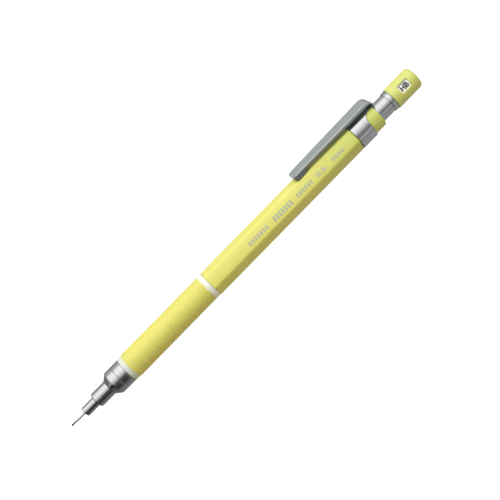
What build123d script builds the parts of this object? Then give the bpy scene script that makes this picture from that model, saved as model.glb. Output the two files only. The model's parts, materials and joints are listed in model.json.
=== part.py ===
from build123d import *

import math
import os

# A 0.5 mm mechanical pencil with a ribbed grip, a six-sided barrel and a lead grade window in its cap.
#
# Everything is drawn in the pencil's own frame, in millimetres: the axis is X, the lead's point is at
# x = 0, the cap is at the far end, and the clip stands on the +Z side. The last step lays the pencil on
# a table, turned until one edge of the barrel meets it.

# ---- driving dimensions, mm ----
LENGTH = 139.3  # the lead's point to the top of the cap
BODY_R = 4.25  # the clip's band
GAP = 0.05  # between parts that meet end to end
SLIP = 0.02  # between parts that fit inside each other

# where each visible part starts, along the axis
X_PIPE = 2.05
X_NOSE = 5.45
X_STEP = 10.05
X_SHOULDER = 15.5
X_SEAM = 19.65
X_RING_1 = 22.5
X_GRIP = 24.0
X_RING_2 = 54.85
X_BARREL = 56.5
X_BAND = 114.65
X_COLLAR = 119.95
X_COLLAR_END = 123.9
X_INDICATOR = 128.4
X_CAP = 129.85

# lead, pipe and nose
LEAD_R = 0.28
LEAD_LENGTH = 60.0
SPARE_LEADS = 3
SPARE_RING_R = 0.75  # the circle that the spare leads stand on
PIPE_R = 0.43
PIPE_BORE = 0.30
NOSE_TIP_R = 1.6
NOSE_MIDDLE_R = 2.46
NOSE_R = 3.95
CONE_LENGTH = 1.75
NOSE_BORE = 1.75
RETAINER_R = 1.04
RETAINER_BORE = 0.5
X_RETAINER = 8.65
X_RETAINER_END = 10.75
THREAD_R = 2.95
THREAD_DEPTH = 0.18
THREAD_PITCH = 0.6
THREAD_END = 24.5

# chuck
RING_TRAVEL = 0.7  # how far the clutch ring goes before it meets the nose
X_CHUCK = 15.55
X_CLUTCH = 16.3
CLUTCH_LENGTH = 3.0
CLUTCH_R = 2.12
CLUTCH_CONE = (1.36, 1.06)  # bore radius at the front and at the back
FINGER_R = 0.9
FINGER_BORE = 0.42
FINGER_HEAD = 2.6  # how much of a finger holds the lead
X_FLEX = 26.0
X_CHUCK_END = 31.4
CHUCK_FLANGE_R = 1.15
JAWS = 3
JAW_ARC = 112.0
HOUSING_R = 2.42
HOUSING_BORE = 2.0
HOUSING_FRONT_BORE = 1.2
HOUSING_RIM_R = 2.9
X_HOUSING = X_CLUTCH + CLUTCH_LENGTH + GAP
X_HOUSING_RIM = 24.6
X_HOUSING_END = 36.0
SPRING_R = 1.72
SPRING_WIRE = 0.3
SPRING_TURNS = 10
X_SPRING = 20.7
X_SPRING_END = 34.0
CONNECTOR_R = 1.5
X_CONNECTOR = 28.6
X_CONNECTOR_END = 39.5
FUNNEL_LENGTH = 1.1

# barrel
BUSH_BORE = 3.0
BUSH_SLEEVE_BORE = 2.5
X_BUSH_RIM = 25.5
X_BUSH_END = 32.0
INNER_R = 3.45
INNER_BORE = 2.85
SHELL_BORE = 3.48
X_INNER = 26.5
X_INNER_END = 108.0
RING_1_R = 3.98
RING_2_R = 4.12
RING_EDGE = 0.12
GRIP_R = 4.2
GRIP_RIBS = 42
RIB_GROOVE = 0.32
RIB_DEPTH = 0.2
HEX_FLAT = 3.88  # axis to flat
HEX_ROUND = 1.1  # rounding of the six edges
HEX_CORNER = (HEX_FLAT - HEX_ROUND) / math.cos(math.radians(30)) + HEX_ROUND
HEX_END_ROUND = 0.35  # rounding of the ends
COLLAR_R = 3.9
COLLAR_BORE = 3.06
COLLAR_ROUND = 0.55

# clip
BAND_BORE = 3.7
TONGUE_HALF = 2.0
TONGUE_FILLET = 2.5
X_CLIP_TIP = 93.88
X_CLIP_END = 124.6
CLIP_TOP = 6.14  # axis to the outer face, at the bend
CLIP_TIP_TOP = 5.8
CLIP_BEND = 1.75  # outer radius of the bend
CLIP_PLATE = 0.45
CLIP_WIDTH = 5.4
CLIP_TIP_WIDTH = 4.6
CLIP_TIP_ROUND = 0.8
CLIP_FLANGE = 0.92  # depth of the folded edges
X_FLANGE = 102.0  # where the folded edges start
CLIP_GAP = 0.06
FOOT_WIDTH = 3.2
FOOT_REST = 0.03  # between the foot and the barrel
X_FOOT_END = 99.6

# push button
BUTTON_R = 3.0
BUTTON_BORE = 2.7
X_BUTTON = 112.0
HOLDER_R = 2.68
X_HOLDER = 113.0
X_HOLDER_END = 126.0
RESERVOIR_R = 1.9
RESERVOIR_BORE = 1.5
X_RESERVOIR = 35.0
X_RESERVOIR_END = 119.0
ERASER_R = 2.15
X_ERASER = 121.2
X_ERASER_END = 130.5

# cap and grade drum
INDICATOR_R = 3.24
DRUM_R = 2.9
DRUM_WALL = 0.5
DRUM_SKIRT_R = 2.66
DRUM_BORE = 2.25
X_DRUM = 126.3
X_DRUM_WEB = 131.6
DRUM_WEB = 0.6
DRUM_END = 137.9
SNAP = 0.1  # depth of the groove that the cap snaps into
SNAP_WIDTH = 0.7
CAP_R = 3.48
CAP_BORE = 2.95
CAP_ROUND = 0.95
CAP_CROWN = 0.22
CAP_ROOF = 0.45  # from the drum to the underside of the cap's roof
WINDOW_LENGTH = 3.65
WINDOW_WIDTH = 2.72
WINDOW_CORNER = 0.35
X_WINDOW = 134.4
WINDOW_TURN = 64.0  # degrees round the axis, from the clip to the window

os.makedirs("parts", exist_ok=True)


# ---- helpers ----
def outline(corners):
    """A closed flat outline from (x, y) corners. A third number is the corner's rounding."""
    shape = make_face(Polyline(*[corner[:2] for corner in corners], close=True))
    for corner in corners:
        if len(corner) == 3:
            x, y, rounding = corner
            vertex = shape.vertices().sort_by_distance((x, y, 0))[0]
            shape = fillet(vertex, rounding)
    return shape


def turned(*corners):
    """The solid that an outline of (x, radius) corners makes, turned about the axis."""
    return revolve(outline(corners), Axis.X)


def tube(x0, x1, outer, inner):
    return turned((x0, inner), (x1, inner), (x1, outer), (x0, outer))


def bar(x0, x1, radius):
    return turned((x0, 0), (x1, 0), (x1, radius), (x0, radius))


def round_about(solid, degrees):
    return Rot(degrees, 0, 0) * solid


def side_sheet(corners, width):
    """A plate with its outline in the XZ plane, centred on Y."""
    return extrude(Rot(90, 0, 0) * outline(corners), width / 2, dir=(0, 1, 0), both=True)


# ---- nose ----
def nose_cone():
    """The stepped metal nose. Its threaded tail screws into the bush."""
    root = THREAD_R - THREAD_DEPTH
    outer = [
        (X_NOSE, NOSE_TIP_R, 0.35),
        (X_STEP, NOSE_TIP_R),
        (X_STEP, NOSE_MIDDLE_R, 0.5),
        (X_SHOULDER, NOSE_MIDDLE_R),
        (X_SHOULDER, NOSE_MIDDLE_R + 0.16),
        (X_SHOULDER + CONE_LENGTH, NOSE_R, 0.4),
        (X_SEAM, NOSE_R, 0.1),
        (X_SEAM, root),
    ]
    first = X_SEAM + THREAD_PITCH / 2
    turns = int((THREAD_END - THREAD_PITCH / 2 - first) / THREAD_PITCH)
    third = THREAD_PITCH * 0.32
    for n in range(turns):
        x = first + n * THREAD_PITCH
        outer += [(x, root), (x + third, THREAD_R), (x + 2 * third, THREAD_R), (x + 3 * third, root)]
    clutch_room = X_CLUTCH - RING_TRAVEL - GAP
    shoulder = X_HOUSING - 0.15
    bore = [
        (THREAD_END, root),
        (THREAD_END, HOUSING_R + 0.06),
        (shoulder, HOUSING_R + 0.06),
        (shoulder, CLUTCH_R + 0.06),
        (clutch_room, CLUTCH_R + 0.06),
        (clutch_room, NOSE_BORE),
        (X_RETAINER_END + 0.85, NOSE_BORE),
        (X_RETAINER_END + 0.15, RETAINER_R + 0.01),
        (X_RETAINER - GAP, RETAINER_R + 0.01),
        (X_RETAINER - GAP, PIPE_R),
        (X_NOSE, PIPE_R),
    ]
    return turned(*outer, *bore)


def guide_pipe():
    """The thin steel pipe that the lead comes out of."""
    back = X_RETAINER - GAP
    return turned((X_PIPE, PIPE_BORE), (back, PIPE_BORE), (back, PIPE_R), (X_PIPE, PIPE_R, 0.08))


def lead_retainer():
    """The rubber bush that keeps the lead from falling out when the chuck opens."""
    return turned(
        (X_RETAINER, LEAD_R + 0.01),
        (X_RETAINER_END - 0.35, LEAD_R + 0.01),
        (X_RETAINER_END, RETAINER_BORE),
        (X_RETAINER_END, RETAINER_R),
        (X_RETAINER, RETAINER_R),
    )


# ---- chuck ----
def cone_r(x):
    """Radius of a jaw's cone at x, just inside the clutch ring's bore."""
    share = (x - X_CLUTCH) / CLUTCH_LENGTH
    return CLUTCH_CONE[0] + share * (CLUTCH_CONE[1] - CLUTCH_CONE[0]) - SLIP


def chuck_jaw(n):
    """One of the collet's fingers: a tapered head on a springy arm."""
    neck = X_CLUTCH + 2.4
    end = X_FLEX - GAP
    face = outline(
        [
            (X_CHUCK, LEAD_R + 0.01),
            (X_CHUCK + FINGER_HEAD, LEAD_R + 0.01),
            (X_CHUCK + FINGER_HEAD + 0.2, FINGER_BORE),
            (end, FINGER_BORE),
            (end, FINGER_R),
            (neck + 0.2, FINGER_R),
            (neck, cone_r(neck)),
            (X_CLUTCH, cone_r(X_CLUTCH)),
            (X_CHUCK + 0.3, cone_r(X_CLUTCH)),
            (X_CHUCK, FINGER_R + 0.1),
        ]
    )
    jaw = revolve(face, Axis.X, JAW_ARC)
    return round_about(jaw, n * 360 / JAWS - JAW_ARC / 2)


def chuck_body():
    """The ring that the collet's fingers spring from."""
    flange, flange_end = X_FLEX + 0.6, X_FLEX + 1.3
    return turned(
        (X_FLEX, FINGER_BORE),
        (X_CHUCK_END, FINGER_BORE),
        (X_CHUCK_END, FINGER_R),
        (flange_end + 0.3, FINGER_R),
        (flange_end, CHUCK_FLANGE_R),
        (flange, CHUCK_FLANGE_R),
        (flange - 0.3, FINGER_R),
        (X_FLEX, FINGER_R),
    )


def clutch_ring():
    """The brass ring that holds the jaws shut until it meets the nose."""
    end = X_CLUTCH + CLUTCH_LENGTH
    return turned(
        (X_CLUTCH, CLUTCH_CONE[0]),
        (end, CLUTCH_CONE[1]),
        (end, CLUTCH_R, 0.12),
        (X_CLUTCH, CLUTCH_R, 0.12),
    )


def chuck_housing():
    """The sleeve that the nose clamps in the bush. It holds the front end of the spring."""
    seat = X_SPRING - GAP
    rim_end = X_HOUSING_RIM + 0.8
    return turned(
        (X_HOUSING, HOUSING_FRONT_BORE),
        (seat, HOUSING_FRONT_BORE),
        (seat, HOUSING_BORE),
        (X_HOUSING_END, HOUSING_BORE),
        (X_HOUSING_END, HOUSING_R),
        (rim_end, HOUSING_R),
        (rim_end, HOUSING_RIM_R),
        (X_HOUSING_RIM, HOUSING_RIM_R),
        (X_HOUSING_RIM, HOUSING_R),
        (X_HOUSING, HOUSING_R),
    )


def main_spring():
    """The return spring, wound round the chuck."""
    start = X_SPRING + SPRING_WIRE / 2
    height = X_SPRING_END - X_SPRING - SPRING_WIRE
    coil = Helix(height / SPRING_TURNS, height, SPRING_R)
    wire = Plane(origin=coil @ 0, z_dir=coil % 0) * Circle(SPRING_WIRE / 2)
    spring = sweep(wire, path=coil, is_frenet=True)
    return Pos(start, 0, 0) * Rot(0, 90, 0) * spring


def chuck_connector():
    """Joins the chuck to the reservoir, and takes the spring's thrust on its flange."""
    chuck_seat = X_CHUCK_END + 0.1
    return turned(
        (X_CONNECTOR, FINGER_R + SLIP),
        (chuck_seat, FINGER_R + SLIP),
        (chuck_seat, FINGER_BORE + 0.03),
        (X_CONNECTOR_END - FUNNEL_LENGTH, FINGER_BORE + 0.03),
        (X_CONNECTOR_END, HOUSING_FRONT_BORE),
        (X_CONNECTOR_END, RESERVOIR_BORE - 0.01),
        (X_RESERVOIR, RESERVOIR_BORE - 0.01),
        (X_RESERVOIR, RESERVOIR_R),
        (X_SPRING_END + SLIP, RESERVOIR_R),
        (X_SPRING_END + SLIP, CONNECTOR_R),
        (X_CONNECTOR, CONNECTOR_R),
    )


# ---- barrel ----
def thread_bush():
    """The metal bush that the nose screws into. Its front shows as a bright ring."""
    front = X_SEAM + 0.03
    return turned(
        (front, BUSH_BORE),
        (X_BUSH_RIM, BUSH_BORE),
        (X_BUSH_RIM, BUSH_SLEEVE_BORE),
        (X_BUSH_END, BUSH_SLEEVE_BORE),
        (X_BUSH_END, INNER_BORE),
        (X_INNER, INNER_BORE),
        (X_INNER, INNER_R),
        (X_RING_1, INNER_R),
        (X_RING_1, NOSE_R),
        (front, NOSE_R, 0.1),
    )


def trim_ring(x0, x1, radius):
    """A white ring, rounded most at its front."""
    return turned((x0, SHELL_BORE), (x1, SHELL_BORE), (x1, radius, RING_EDGE / 2), (x0, radius, RING_EDGE))


def grip():
    """The yellow grip, with a groove between each rib and the next."""
    length = X_RING_2 - X_GRIP
    pitch = length / GRIP_RIBS
    corners = [(X_GRIP, SHELL_BORE)]
    for n in range(GRIP_RIBS):
        x = X_GRIP + n * pitch
        land = (pitch - RIB_GROOVE) / 2
        corners += [
            (x, GRIP_R),
            (x + land, GRIP_R),
            (x + land + RIB_GROOVE * 0.3, GRIP_R - RIB_DEPTH),
            (x + land + RIB_GROOVE * 0.7, GRIP_R - RIB_DEPTH),
            (x + land + RIB_GROOVE, GRIP_R),
        ]
    corners += [(X_RING_2, GRIP_R), (X_RING_2, SHELL_BORE)]
    return turned(*corners)


def hex_barrel():
    """The six-sided barrel, a flat towards the clip, with rounded edges and ends."""
    section = RegularPolygon(HEX_FLAT, 6, major_radius=False)
    section = fillet(section.vertices(), HEX_ROUND)
    length = X_BAND - GAP - X_BARREL
    six = extrude(Pos(X_BARREL, 0, 0) * (Plane.YZ * section), length, dir=(1, 0, 0))
    ends = six.faces().filter_by(Axis.X)
    six = fillet(ends.edges(), HEX_END_ROUND)
    return six - bar(X_BARREL - 1, X_BAND + 1, SHELL_BORE)


def inner_barrel():
    return tube(X_INNER, X_INNER_END, INNER_R, INNER_BORE)


def end_collar():
    """The yellow end of the barrel. The button slides in it, and the clip's tongue lies in its slot."""
    seat = BAND_BORE - SLIP
    collar = turned(
        (X_INNER_END, COLLAR_BORE),
        (X_COLLAR_END, COLLAR_BORE),
        (X_COLLAR_END, COLLAR_R, COLLAR_ROUND),
        (X_COLLAR, COLLAR_R),
        (X_COLLAR, seat),
        (X_BAND, seat),
        (X_BAND, INNER_R),
        (X_INNER_END, INNER_R),
    )
    past_end = X_COLLAR_END + 1
    slot = tube(X_COLLAR - 0.5, past_end, COLLAR_R + 1, seat) & tongue_block(past_end, 2 * SLIP)
    return collar - slot


# ---- clip ----
def tongue_block(reach, margin):
    """A block with the plan of the clip's tongue: wide where it leaves the band, then narrow."""
    half = TONGUE_HALF + margin
    wide = half + TONGUE_FILLET
    start = X_COLLAR + margin
    narrow = start + TONGUE_FILLET
    with BuildSketch() as plan:
        with BuildLine():
            Polyline((narrow, half), (reach, half), (reach, -half), (narrow, -half))
            RadiusArc((narrow, -half), (start, -wide), -TONGUE_FILLET)
            Polyline((start, -wide), (X_COLLAR - 1, -wide), (X_COLLAR - 1, wide), (start, wide))
            RadiusArc((start, wide), (narrow, half), -TONGUE_FILLET)
        make_face()
    return extrude(plan.sketch, BODY_R + 1)


def clip_band():
    """The clip's band, with the tongue that carries the arm."""
    ring = tube(X_BAND, X_COLLAR, BODY_R, BAND_BORE)
    rims = ring.edges().filter_by(GeomType.CIRCLE).group_by(SortBy.RADIUS)[-1]
    reach = X_CLIP_END - GAP
    tongue = tube(X_COLLAR - 0.5, reach, BODY_R, BAND_BORE) & tongue_block(reach, 0)
    return fillet(rims, 0.1) + tongue


def clip_arm():
    """The clip's arm: a strip with folded edges, deepest at the bend, and a foot that rests on the barrel."""
    slope = (CLIP_TOP - CLIP_TIP_TOP) / (X_CLIP_END - X_CLIP_TIP)

    def top(x):
        return CLIP_TIP_TOP + slope * (x - X_CLIP_TIP)

    wall_foot = BODY_R + CLIP_GAP
    inside = X_CLIP_END - CLIP_PLATE
    corner = CLIP_TOP - CLIP_FLANGE
    arm = side_sheet(
        [
            (X_CLIP_TIP, top(X_CLIP_TIP), 0.3),
            (X_CLIP_END, CLIP_TOP, CLIP_BEND),
            (X_CLIP_END, wall_foot),
            (inside, wall_foot),
            (inside, corner, 0.6),
            (X_BAND, top(X_BAND) - CLIP_FLANGE),
            (X_FLANGE, top(X_FLANGE) - CLIP_PLATE - 0.03),
            (X_CLIP_TIP, top(X_CLIP_TIP) - CLIP_PLATE),
        ],
        CLIP_WIDTH,
    )
    half, tip_half = CLIP_WIDTH / 2, CLIP_TIP_WIDTH / 2
    plan = outline(
        [
            (X_CLIP_TIP, -tip_half, CLIP_TIP_ROUND),
            (X_CLIP_END, -half, 0.4),
            (X_CLIP_END, half, 0.4),
            (X_CLIP_TIP, tip_half, CLIP_TIP_ROUND),
        ]
    )
    hollow = side_sheet(
        [
            (X_FLANGE, top(X_FLANGE) - CLIP_PLATE),
            (inside, CLIP_TOP - CLIP_PLATE, CLIP_BEND - CLIP_PLATE),
            (inside, BODY_R - 1),
            (X_FLANGE, BODY_R - 1),
        ],
        CLIP_WIDTH - 2 * CLIP_PLATE,
    )
    lowest = HEX_FLAT + FOOT_REST
    foot = side_sheet(
        [
            (X_CLIP_TIP + 0.3, top(X_CLIP_TIP) - 0.3),
            (X_FOOT_END, top(X_FOOT_END) - CLIP_PLATE + 0.1),
            (X_FOOT_END - 0.9, lowest + 0.8, 0.6),
            (X_FOOT_END - 2.6, lowest, 0.8),
            (X_CLIP_TIP + 0.3, lowest, 0.4),
        ],
        FOOT_WIDTH,
    )
    return (arm & extrude(plan, CLIP_TOP + 1)) - hollow + foot


# ---- push button ----
def button_tube():
    end = X_INDICATOR - 2 * GAP
    return turned((X_BUTTON, BUTTON_BORE), (end, BUTTON_BORE), (end, BUTTON_R, 0.1), (X_BUTTON, BUTTON_R))


def eraser_holder():
    """The plastic bush that joins the button tube to the reservoir and holds the eraser."""
    seat = X_ERASER - 2 * GAP
    socket_r = ERASER_R + SLIP
    return turned(
        (X_HOLDER, RESERVOIR_R),
        (X_RESERVOIR_END, RESERVOIR_R),
        (X_RESERVOIR_END, RESERVOIR_BORE),
        (seat, RESERVOIR_BORE),
        (seat, socket_r),
        (X_HOLDER_END, socket_r),
        (X_HOLDER_END, HOLDER_R),
        (X_HOLDER, HOLDER_R),
    )


def lead_reservoir():
    return tube(X_RESERVOIR + GAP, X_RESERVOIR_END, RESERVOIR_R, RESERVOIR_BORE)


def eraser():
    return turned((X_ERASER, 0), (X_ERASER_END, 0), (X_ERASER_END, ERASER_R, 0.35), (X_ERASER, ERASER_R))


def lead():
    return turned((0, 0), (LEAD_LENGTH, 0), (LEAD_LENGTH, LEAD_R), (0.25, LEAD_R), (0, LEAD_R - 0.12))


def spare_leads():
    start = LEAD_LENGTH + 0.6
    stick = Pos(0, 0, SPARE_RING_R) * bar(start, start + LEAD_LENGTH, LEAD_R)
    return Compound([round_about(stick, n * 360 / SPARE_LEADS) for n in range(SPARE_LEADS)])


# ---- cap ----
def indicator_ring():
    """The bright ring that turns the grade drum."""
    end = X_CAP - GAP
    return turned(
        (X_INDICATOR, DRUM_SKIRT_R),
        (end, DRUM_SKIRT_R),
        (end, INDICATOR_R, 0.08),
        (X_INDICATOR, INDICATOR_R, 0.1),
    )


def indicator_drum():
    """The white drum that carries the lead grades. Its skirt plugs into the button tube."""
    web_end = X_DRUM_WEB + DRUM_WEB
    inside = DRUM_R - DRUM_WALL
    groove = DRUM_END - 1.1
    return turned(
        (X_DRUM, DRUM_BORE),
        (X_DRUM_WEB, DRUM_BORE),
        (X_DRUM_WEB, 0),
        (web_end, 0),
        (web_end, inside),
        (DRUM_END, inside),
        (DRUM_END, DRUM_R, 0.15),
        (groove + SNAP_WIDTH, DRUM_R),
        (groove + SNAP_WIDTH - SNAP, DRUM_R - SNAP),
        (groove + SNAP, DRUM_R - SNAP),
        (groove, DRUM_R),
        (X_CAP, DRUM_R),
        (X_CAP, DRUM_SKIRT_R),
        (X_DRUM, DRUM_SKIRT_R, 0.1),
    )


def cap_shell():
    """The yellow cap. It turns on the drum, and its window shows one grade."""
    crown = LENGTH - CAP_CROWN
    shoulder = crown - CAP_ROUND
    flat_r = CAP_R - CAP_ROUND
    roof = DRUM_END + CAP_ROOF
    bead = DRUM_END - 1.1 + SNAP_WIDTH / 2
    bead_r = DRUM_R - SNAP / 2
    edge = 0.15
    with BuildSketch() as wall:
        with BuildLine():
            Polyline((X_CAP + edge, CAP_BORE), (bead - 0.2, CAP_BORE), (bead - 0.1, bead_r))
            Polyline((bead - 0.1, bead_r), (bead + 0.1, bead_r), (bead + 0.2, CAP_BORE))
            Polyline((bead + 0.2, CAP_BORE), (roof - 0.3, CAP_BORE), (roof, CAP_BORE - 0.3))
            Polyline((roof, CAP_BORE - 0.3), (roof, 0), (LENGTH, 0))
            ThreePointArc((LENGTH, 0), (LENGTH - CAP_CROWN / 4, flat_r / 2), (crown, flat_r))
            RadiusArc((crown, flat_r), (shoulder, CAP_R), -CAP_ROUND)
            Polyline((shoulder, CAP_R), (X_CAP + edge, CAP_R), (X_CAP, CAP_R - edge))
            Polyline((X_CAP, CAP_R - edge), (X_CAP, CAP_BORE + edge), (X_CAP + edge, CAP_BORE))
        make_face()
    shell = revolve(wall.sketch, Axis.X)
    window = Pos(X_WINDOW, 0, DRUM_R / 2) * RectangleRounded(WINDOW_LENGTH, WINDOW_WIDTH, WINDOW_CORNER)
    return shell - round_about(extrude(window, CAP_R), WINDOW_TURN)


# ---- the pencil laid on a table ----
def parts():
    """Every sub-part by name, in the pencil's own frame."""
    made = {
        "nose_cone": nose_cone(),
        "guide_pipe": guide_pipe(),
        "lead_retainer": lead_retainer(),
        "clutch_ring": clutch_ring(),
        "chuck_body": chuck_body(),
        "chuck_connector": chuck_connector(),
        "chuck_housing": chuck_housing(),
        "main_spring": main_spring(),
        "thread_bush": thread_bush(),
        "front_trim_ring": trim_ring(X_RING_1, X_GRIP, RING_1_R),
        "grip": grip(),
        "middle_trim_ring": trim_ring(X_RING_2, X_BARREL, RING_2_R),
        "hex_barrel": hex_barrel(),
        "inner_barrel": inner_barrel(),
        "end_collar": end_collar(),
        "clip_band": clip_band(),
        "clip_arm": clip_arm(),
        "button_tube": button_tube(),
        "eraser_holder": eraser_holder(),
        "lead_reservoir": lead_reservoir(),
        "eraser": eraser(),
        "lead": lead(),
        "spare_leads": spare_leads(),
        "indicator_ring": indicator_ring(),
        "indicator_drum": indicator_drum(),
        "cap_shell": cap_shell(),
    }
    for n in range(JAWS):
        made[f"chuck_jaw_{n + 1}"] = chuck_jaw(n)
    return made


# The barrel's edge beside the lowest flat meets the table when the pencil leans this far from that flat.
LEAN = 30 - math.degrees(math.acos(BODY_R / HEX_CORNER))
CLIP_FROM_UP = 60 + LEAN
made = parts()
turn = Rot(-CLIP_FROM_UP, 0, 0)
across = [(turn * made[name]).bounding_box() for name in ("clip_arm", "grip")]
AXIS_Y = -(across[0].max.Y + across[1].min.Y) / 2
print(f"axis at y {AXIS_Y:.4f}, z {BODY_R}; the clip leans {CLIP_FROM_UP:.3f} degrees from straight up")
lay_down = Pos(-LENGTH / 2, AXIS_Y, BODY_R) * turn
for name, solid in made.items():
    export_step(lay_down * solid, f"parts/{name}.step")
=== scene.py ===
import json
import math

import bmesh
import bpy
from mathutils import Matrix, Vector


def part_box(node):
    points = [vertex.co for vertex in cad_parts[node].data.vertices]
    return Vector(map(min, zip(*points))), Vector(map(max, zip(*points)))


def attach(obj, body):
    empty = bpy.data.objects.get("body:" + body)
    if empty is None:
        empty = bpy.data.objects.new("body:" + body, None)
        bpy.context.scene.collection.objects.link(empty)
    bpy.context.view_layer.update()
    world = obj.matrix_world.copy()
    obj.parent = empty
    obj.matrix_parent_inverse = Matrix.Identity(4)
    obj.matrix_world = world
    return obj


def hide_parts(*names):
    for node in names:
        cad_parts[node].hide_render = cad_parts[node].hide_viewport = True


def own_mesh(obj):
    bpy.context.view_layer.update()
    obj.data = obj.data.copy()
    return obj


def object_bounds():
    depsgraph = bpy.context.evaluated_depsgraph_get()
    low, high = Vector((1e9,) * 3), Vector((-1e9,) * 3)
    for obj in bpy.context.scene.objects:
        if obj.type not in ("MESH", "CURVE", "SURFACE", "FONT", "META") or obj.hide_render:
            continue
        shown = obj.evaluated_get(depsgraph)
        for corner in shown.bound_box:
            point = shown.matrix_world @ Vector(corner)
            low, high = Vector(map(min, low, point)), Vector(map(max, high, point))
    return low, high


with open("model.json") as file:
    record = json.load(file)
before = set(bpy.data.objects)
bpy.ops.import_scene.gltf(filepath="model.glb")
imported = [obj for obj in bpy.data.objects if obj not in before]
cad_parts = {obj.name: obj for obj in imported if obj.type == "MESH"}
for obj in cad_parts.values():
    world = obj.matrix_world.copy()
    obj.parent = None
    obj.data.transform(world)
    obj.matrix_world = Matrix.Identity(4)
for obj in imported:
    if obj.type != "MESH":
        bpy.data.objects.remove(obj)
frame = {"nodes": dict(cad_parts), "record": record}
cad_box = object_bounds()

# Shapes are drawn in the pencil's own frame, in millimetres: x runs along the axis from the lead's
# point, and z points from the axis to the clip. Angles go round the axis from the clip towards the
# printed flat.

MM = 0.001
RECORD = frame["record"]
SLOT_OF = {part["node"]: part["material_slot"] for part in RECORD["subparts"]}
BODY_OF = {node: body for body, nodes in RECORD["behaviour"]["bodies"].items() for node in nodes}
JOINTS = {joint["name"]: joint for joint in RECORD["behaviour"]["joints"]}

grip_low, grip_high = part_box("grip")
AXIS = (grip_low + grip_high) / 2
ORIGIN = Vector((cad_box[0].x, AXIS.y, AXIS.z))
SIDEWAYS = Vector(JOINTS["clip_flex"]["axis"]).normalized()
ALONG = Vector((1, 0, 0))
TO_CLIP = ALONG.cross(SIDEWAYS)
ROLLED = Matrix((ALONG, SIDEWAYS, TO_CLIP)).transposed().to_4x4()
PLACE = Matrix.Translation(ORIGIN) @ ROLLED @ Matrix.Scale(MM, 4)


# ---- places read from the frame ----
def span(node):
    """Where a node starts and ends along the axis."""
    low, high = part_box(node)
    return (low.x - ORIGIN.x) / MM, (high.x - ORIGIN.x) / MM


def radius(node):
    """The outer radius of a round node."""
    low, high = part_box(node)
    return (high.z - low.z) / 2 / MM


NOSE_STEP = next(m for m in RECORD["mounts"] if m["name"] == "nose_step")
FLAT = next(m for m in RECORD["mounts"] if m["name"] == "printed_flat")
NOSE_FRONT, NOSE_END = span("nose_cone")
SEAM, BUSH_END = span("thread_bush")
RING_1, GRIP_START = span("front_trim_ring")
RING_2, RING_2_END = span("middle_trim_ring")
BARREL_START, BARREL_END = span("hex_barrel")
BAND_START, TONGUE_END = span("clip_band")
COLLAR_START, COLLAR_END = span("end_collar")
CLIP_TIP, CLIP_END = span("clip_arm")
TUBE_START = span("button_tube")[0]
INDICATOR_START, INDICATOR_END = span("indicator_ring")
CAP_START, CAP_END = span("cap_shell")
DRUM_START, DRUM_END = span("indicator_drum")
ERASER_START, ERASER_END = span("eraser")
PIPE_START, PIPE_END = span("guide_pipe")
LEAD_END = span("lead")[1]
LEAD_R = radius("lead")
PIPE_R = radius("guide_pipe")
INNER_START = span("inner_barrel")[0]
NOSE_R = radius("nose_cone")
GRIP_R = radius("grip")
COLLAR_R = radius("end_collar")
BAND_R = radius("clip_band")
CAP_R = radius("cap_shell")
TUBE_R = radius("button_tube")
INDICATOR_R = radius("indicator_ring")
DRUM_R = radius("indicator_drum")
ERASER_R = radius("eraser")
SPRING_START, SPRING_END = span("main_spring")
SPRING_R = radius("main_spring")
STEP_R = NOSE_STEP["dims"]["r_mm"]
STEP_END = (NOSE_STEP["pos_m"][0] - ORIGIN.x) / MM + NOSE_STEP["dims"]["length_mm"] / 2
STEP_START = STEP_END - NOSE_STEP["dims"]["length_mm"]
FLAT_NORMAL = Vector(FLAT["axis"])
FLAT_ANGLE = TO_CLIP.angle(FLAT_NORMAL)
FLAT_R = (Vector(FLAT["pos_m"]) - ORIGIN).dot(FLAT_NORMAL) / MM

# dimensions that no box gives
NOSE_TIP_R = 1.6
NOSE_TIP_END = STEP_START - 0.6
NOSE_GAP = 0.03  # between the nose and the bush
CONE_LENGTH = 1.75
THREAD_ROOT = 2.77
THREAD_RIDGE = 0.18
THREAD_PITCH = 0.6
NOSE_BORES = ((19.2, 2.48), (15.55, 2.18), (11.6, 1.75))  # where each one's front is, and its radius
RETAINER_SEAT = (8.6, 10.9)  # its start and end
RETAINER_SEAT_R = 1.05
PIPE_BORE = 0.30
BUSH_RIM = 25.5
BUSH_BORE = 3.0
BUSH_SLEEVE_BORE = 2.5
BUSH_GAP = 0.12  # the shadow line behind the bright ring
INNER_R = 3.45
INNER_BORE = 2.85
SHELL_BORE = 3.48
RIBS = 42
RIB_DEPTH = 0.22
RIB_FOOT = 0.16  # where a rib's side rises and where it is up, as shares of the pitch
RIB_TOP = 0.30
HEX_ROUND = 1.0
HEX_END_ROUND = 0.35
CROWN_R = 11.8  # of the barrel's sides
CROWN_TOP = 3.9  # axis to the middle of a side
COLLAR_BORE = 3.06
COLLAR_MIDDLE = 9  # from its start to a place along the slot
BAND_RING_END = 119.95  # where the band ends, away from its tongue
BAND_BORE = 3.7
TONGUE_HALF = 2.0
TONGUE_FILLET = 2.5
SLOT_MARGIN = 0.04  # of the collar's slot round the tongue
CLIP_TOP = 6.14
CLIP_TIP_TOP = 5.8
CLIP_HALF = 2.7
CLIP_TIP_HALF = 2.3
CLIP_CORNER = 0.85
CLIP_TIP_SINK = 0.22  # of its very end
CLIP_PLATE = 0.45
CLIP_SHALLOW = CLIP_PLATE + 0.03  # depth where the edges are hardly folded
CLIP_DEEP = 0.92
FOLD_START = 102.5  # where the arm's edges begin to deepen, and where they are full
FOLD_FULL = 115.0
CLIP_BEND = 2.1
CLIP_END_LIFT = 0.06  # of the arm's end over the tongue
FOOT_HALF = 2.2
FOOT_END = 99.7
FOOT_REST = 0.03  # between the foot and the barrel
TUBE_BORE = 2.7
DRUM_SKIRT_R = 2.66
DRUM_BORE = 2.25
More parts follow.
